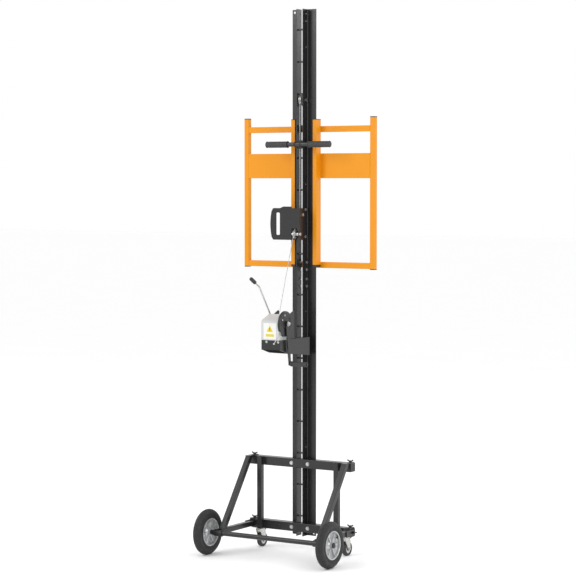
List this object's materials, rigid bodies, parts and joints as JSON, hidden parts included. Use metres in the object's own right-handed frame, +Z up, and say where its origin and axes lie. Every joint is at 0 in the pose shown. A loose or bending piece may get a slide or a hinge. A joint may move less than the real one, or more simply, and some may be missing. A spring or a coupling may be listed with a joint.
{
  "type": "panel lift",
  "caption": "Manually cranked mast lift: a rung-tied channel mast on a wheeled base carries a sliding rectangular load frame, raised by a hand winch, cable and sheaves.",
  "frame": {"origin": "centre of the lift's footprint, on the floor", "axes": "+X along the axle towards the crank side, +Y from the road wheels towards the load side, +Z up the mast"},
  "size_m": [0.87, 0.5924, 3.091],
  "materials": {
    "frame_black": "gloss",
    "carriage_orange": "gloss",
    "zinc": "satin",
    "steel": "machined",
    "cable": "stranded",
    "tyre": "matt",
    "caster_rubber": "matt",
    "rim": "satin",
    "grip": "matt",
    "knob": "gloss",
    "nylon": "matt",
    "cap": "matt",
    "housing": "satin"
  },
  "bodies": {
    "chassis": {"rail_upper": "frame_black", "rail_lower": "frame_black", "base_uprights": "frame_black", "brace_left": "frame_black", "brace_right": "frame_black", "arm_left": "frame_black", "arm_right": "frame_black", "wing_screws": "knob", "axle": "frame_black", "caster_plates": "zinc", "mast_lower_left": "frame_black", "mast_lower_right": "frame_black", "mast_upper_left": "frame_black", "mast_upper_right": "frame_black", "rungs": "frame_black", "splice_plates": "frame_black", "frame_bolts": "zinc", "tbar": "frame_black", "tbar_grips": "grip", "guide_bracket": "frame_black", "sheave_axles": "zinc", "winch_bracket": "frame_black", "winch_frame": "frame_black", "winch_housing": "housing", "brake_cover": "frame_black", "cable_run": "cable"},
    "carriage": {"channel_left": "carriage_orange", "channel_right": "carriage_orange", "post_left": "carriage_orange", "post_right": "carriage_orange", "cross_rail_top": "carriage_orange", "cross_rail_bottom": "carriage_orange", "panel_left": "carriage_orange", "panel_right": "carriage_orange", "carriage_caps": "cap", "slide_shoes": "nylon", "cable_anchor": "zinc", "cable_drop": "cable"},
    "road_wheel_left": {"tyre_left": "tyre", "rim_left": "rim"},
    "road_wheel_right": {"tyre_right": "tyre", "rim_right": "rim"},
    "caster_yoke_left": {"caster_fork_left": "zinc", "caster_pin_left": "zinc"},
    "caster_yoke_right": {"caster_fork_right": "zinc", "caster_pin_right": "zinc"},
    "caster_roller_left": {"caster_wheel_left": "caster_rubber"},
    "caster_roller_right": {"caster_wheel_right": "caster_rubber"},
    "brake_pedal_left": {"caster_brake_left": "cap"},
    "brake_pedal_right": {"caster_brake_right": "cap"},
    "sheave_low": {"guide_sheave_low": "zinc"},
    "sheave_high": {"guide_sheave_high": "zinc"},
    "sheave_head": {"head_sheave": "zinc"},
    "winch_drum": {"drum": "steel"},
    "crank": {"crank_shaft": "steel", "crank_arm": "frame_black"},
    "crank_handle": {"crank_grip": "grip"},
    "clutch": {"clutch_lever": "zinc", "clutch_knob": "knob"},
    "pawl_lever": {"pawl": "zinc"}
  },
  "joints": [
    {"name": "carriage_slide", "type": "slide", "parent": "chassis", "child": "carriage", "axis": [0, 0, 1], "range_m": [-1.05, 0.75], "deforming": ["cable_drop"]},
    {"name": "drum_turn", "type": "hinge", "parent": "chassis", "child": "winch_drum", "pos_m": [0, -0.03635, 1.30004], "axis": [1, 0, 0], "range_deg": [-1886, 1348]},
    {"name": "crank_turn", "type": "hinge", "parent": "chassis", "child": "crank", "pos_m": [0.08, -0.08025, 1.326], "axis": [1, 0, 0], "range_deg": [-4034, 5646]},
    {"name": "crank_grip_spin", "type": "hinge", "parent": "crank", "child": "crank_handle", "pos_m": [0.14, -0.05234, 1.10173], "axis": [1, 0, 0], "continuous": true},
    {"name": "head_sheave_turn", "type": "hinge", "parent": "chassis", "child": "sheave_head", "pos_m": [0, 0.20675, 2.578], "axis": [1, 0, 0], "range_deg": [-2011, 1438]},
    {"name": "high_sheave_turn", "type": "hinge", "parent": "chassis", "child": "sheave_high", "pos_m": [0, 0.16075, 1.93], "axis": [1, 0, 0], "range_deg": [-2691, 3766]},
    {"name": "low_sheave_turn", "type": "hinge", "parent": "chassis", "child": "sheave_low", "pos_m": [0, 0.13075, 1.82], "axis": [1, 0, 0], "range_deg": [-3014, 2154]},
    {"name": "clutch_lever_tilt", "type": "hinge", "parent": "chassis", "child": "clutch", "pos_m": [-0.066, -0.00725, 1.335], "axis": [1, 0, 0], "range_deg": [-18, 22]},
    {"name": "pawl_tilt", "type": "hinge", "parent": "chassis", "child": "pawl_lever", "pos_m": [0.063, -0.12625, 1.281], "axis": [1, 0, 0], "range_deg": [-12, 18]},
    {"name": "road_wheel_left_spin", "type": "hinge", "parent": "chassis", "child": "road_wheel_left", "pos_m": [-0.403, -0.16625, 0.13], "axis": [1, 0, 0], "continuous": true},
    {"name": "caster_left_swivel", "type": "hinge", "parent": "chassis", "child": "caster_yoke_left", "pos_m": [-0.285, 0.19875, 0.1], "axis": [0, 0, 1], "continuous": true},
    {"name": "caster_left_roll", "type": "hinge", "parent": "caster_yoke_left", "child": "caster_roller_left", "pos_m": [-0.285, 0.22275, 0.04], "axis": [1, 0, 0], "continuous": true},
    {"name": "caster_left_brake", "type": "hinge", "parent": "caster_yoke_left", "child": "brake_pedal_left", "pos_m": [-0.285, 0.23375, 0.0948], "axis": [1, 0, 0], "range_deg": [-20, 0]},
    {"name": "road_wheel_right_spin", "type": "hinge", "parent": "chassis", "child": "road_wheel_right", "pos_m": [0.403, -0.16625, 0.13], "axis": [1, 0, 0], "continuous": true},
    {"name": "caster_right_swivel", "type": "hinge", "parent": "chassis", "child": "caster_yoke_right", "pos_m": [0.285, 0.19875, 0.1], "axis": [0, 0, 1], "continuous": true},
    {"name": "caster_right_roll", "type": "hinge", "parent": "caster_yoke_right", "child": "caster_roller_right", "pos_m": [0.285, 0.22275, 0.04], "axis": [1, 0, 0], "continuous": true},
    {"name": "caster_right_brake", "type": "hinge", "parent": "caster_yoke_right", "child": "brake_pedal_right", "pos_m": [0.285, 0.23375, 0.0948], "axis": [1, 0, 0], "range_deg": [-20, 0]}
  ],
  "couplings": [
    {"joint": "drum_turn", "follows": "carriage_slide", "rad_per_m": 31.25},
    {"joint": "crank_turn", "follows": "carriage_slide", "rad_per_m": -93.75},
    {"joint": "head_sheave_turn", "follows": "carriage_slide", "rad_per_m": 33.333},
    {"joint": "high_sheave_turn", "follows": "carriage_slide", "rad_per_m": -62.5},
    {"joint": "low_sheave_turn", "follows": "carriage_slide", "rad_per_m": 50}
  ]
}
